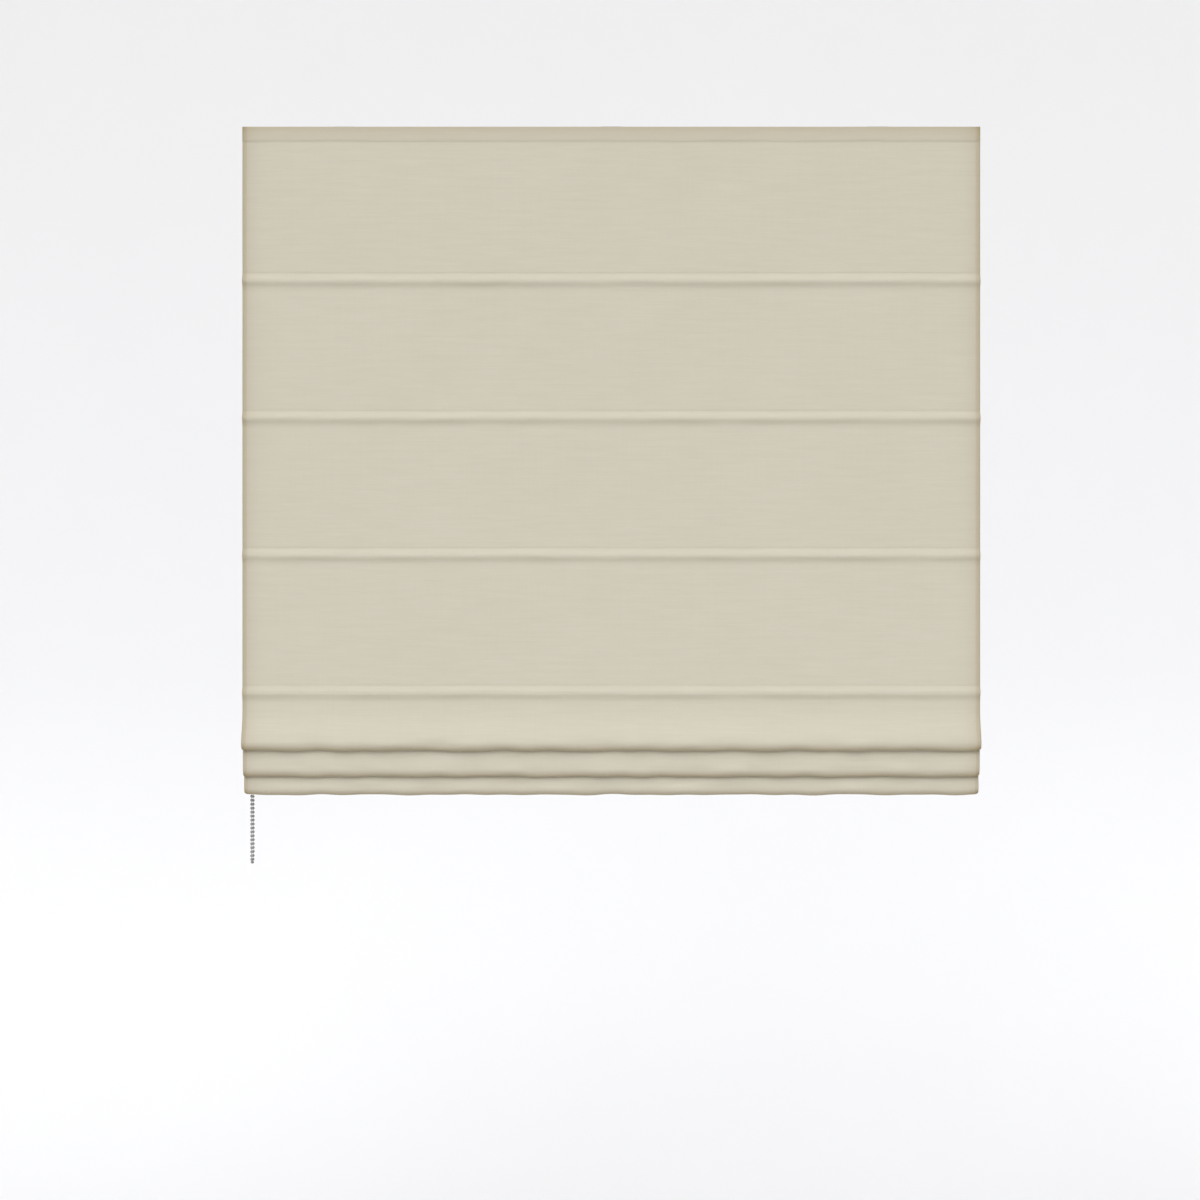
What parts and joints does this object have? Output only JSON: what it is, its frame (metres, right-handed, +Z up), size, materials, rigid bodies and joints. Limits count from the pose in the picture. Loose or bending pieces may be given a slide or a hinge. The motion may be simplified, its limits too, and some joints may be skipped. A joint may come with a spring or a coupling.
{
  "type": "roman blind",
  "caption": "Cord-lifted roman blind with ribbed plain cloth, gathered folds, headrail, spool shaft and bead-chain drive.",
  "frame": {"origin": "middle of the bracket screw line, on the soffit face of the brackets", "axes": "+X along the blind to the right seen from the room, +Y to the window, +Z up; the cloth hangs on the -Y side"},
  "size_m": [1.106, 0.0799, 1.114],
  "materials": {
    "face_cloth": "plain woven beige furnishing cloth",
    "white_tape": "white woven tape",
    "white_cord": "braided polyester cord",
    "white_rail": "white powder-coated aluminium",
    "zinc_steel": "zinc-plated folded steel",
    "bare_aluminium": "extruded aluminium",
    "white_plastic": "white moulded plastic",
    "clear_plastic": "milky moulded plastic",
    "glass_fibre": "white glass-fibre rod",
    "chain_beads": "grey-beige plastic beads on a cord"
  },
  "bodies": {
    "headrail_assembly": {"brackets": "zinc_steel", "headrail": "white_rail", "hook_tape": "white_tape", "loop_tape": "white_tape", "drive_housing": "white_plastic", "drive_cover": "white_plastic", "chain_wrap": "chain_beads", "bead_chain": "chain_beads", "chain_connector": "chain_beads", "end_cap_right": "white_plastic", "spool_cradle_left": "white_plastic", "spool_cradle_centre": "white_plastic", "spool_cradle_right": "white_plastic", "lift_cord_left": "white_cord", "lift_cord_centre": "white_cord", "lift_cord_right": "white_cord", "face_fabric": "face_cloth"},
    "lift_drive": {"chain_wheel": "white_plastic", "drive_shaft": "bare_aluminium", "shaft_journal": "white_plastic", "spool_left": "white_plastic", "spool_centre": "white_plastic", "spool_right": "white_plastic", "cord_winding_left": "white_cord", "cord_winding_centre": "white_cord", "cord_winding_right": "white_cord"},
    "rib_assembly_1": {"rib_1": "glass_fibre", "rib_pocket_1": "white_tape", "rib_caps_1": "white_plastic", "cord_rings_1": "clear_plastic"},
    "rib_assembly_2": {"rib_2": "glass_fibre", "rib_pocket_2": "white_tape", "rib_caps_2": "white_plastic", "cord_rings_2": "clear_plastic"},
    "rib_assembly_3": {"rib_3": "glass_fibre", "rib_pocket_3": "white_tape", "rib_caps_3": "white_plastic", "cord_rings_3": "clear_plastic"},
    "fold_stack": {"rib_4": "glass_fibre", "rib_pocket_4": "white_tape", "rib_caps_4": "white_plastic", "cord_rings_4": "clear_plastic", "rib_5": "glass_fibre", "rib_pocket_5": "white_tape", "rib_caps_5": "white_plastic", "cord_rings_5": "clear_plastic", "rib_6": "glass_fibre", "rib_pocket_6": "white_tape", "rib_caps_6": "white_plastic", "cord_rings_6": "clear_plastic", "bottom_bar": "bare_aluminium", "bar_plugs": "white_plastic", "cord_anchors": "clear_plastic"}
  },
  "joints": [
    {"name": "blind_lift", "type": "slide", "parent": "headrail_assembly", "child": "fold_stack", "axis": [0, 0, 1], "range_m": [0, 0.695], "deforming": ["face_fabric", "lift_cord_left", "lift_cord_centre", "lift_cord_right"]},
    {"name": "rib_1_lift", "type": "slide", "parent": "headrail_assembly", "child": "rib_assembly_1", "axis": [0, 0, 1], "range_m": [0, 0.1886]},
    {"name": "rib_2_lift", "type": "slide", "parent": "headrail_assembly", "child": "rib_assembly_2", "axis": [0, 0, 1], "range_m": [0, 0.3574]},
    {"name": "rib_3_lift", "type": "slide", "parent": "headrail_assembly", "child": "rib_assembly_3", "axis": [0, 0, 1], "range_m": [0, 0.5263]},
    {"name": "drive_spin", "type": "hinge", "parent": "headrail_assembly", "child": "lift_drive", "pos_m": [0, 0, -0.0155], "axis": [-1, 0, 0], "range_deg": [0, 5172]}
  ],
  "couplings": [
    {"joint": "rib_1_lift", "follows": "blind_lift", "ratio": 0.27123},
    {"joint": "rib_2_lift", "follows": "blind_lift", "ratio": 0.51415},
    {"joint": "rib_3_lift", "follows": "blind_lift", "ratio": 0.75708},
    {"joint": "drive_spin", "follows": "blind_lift", "rad_per_m": 129.87}
  ]
}
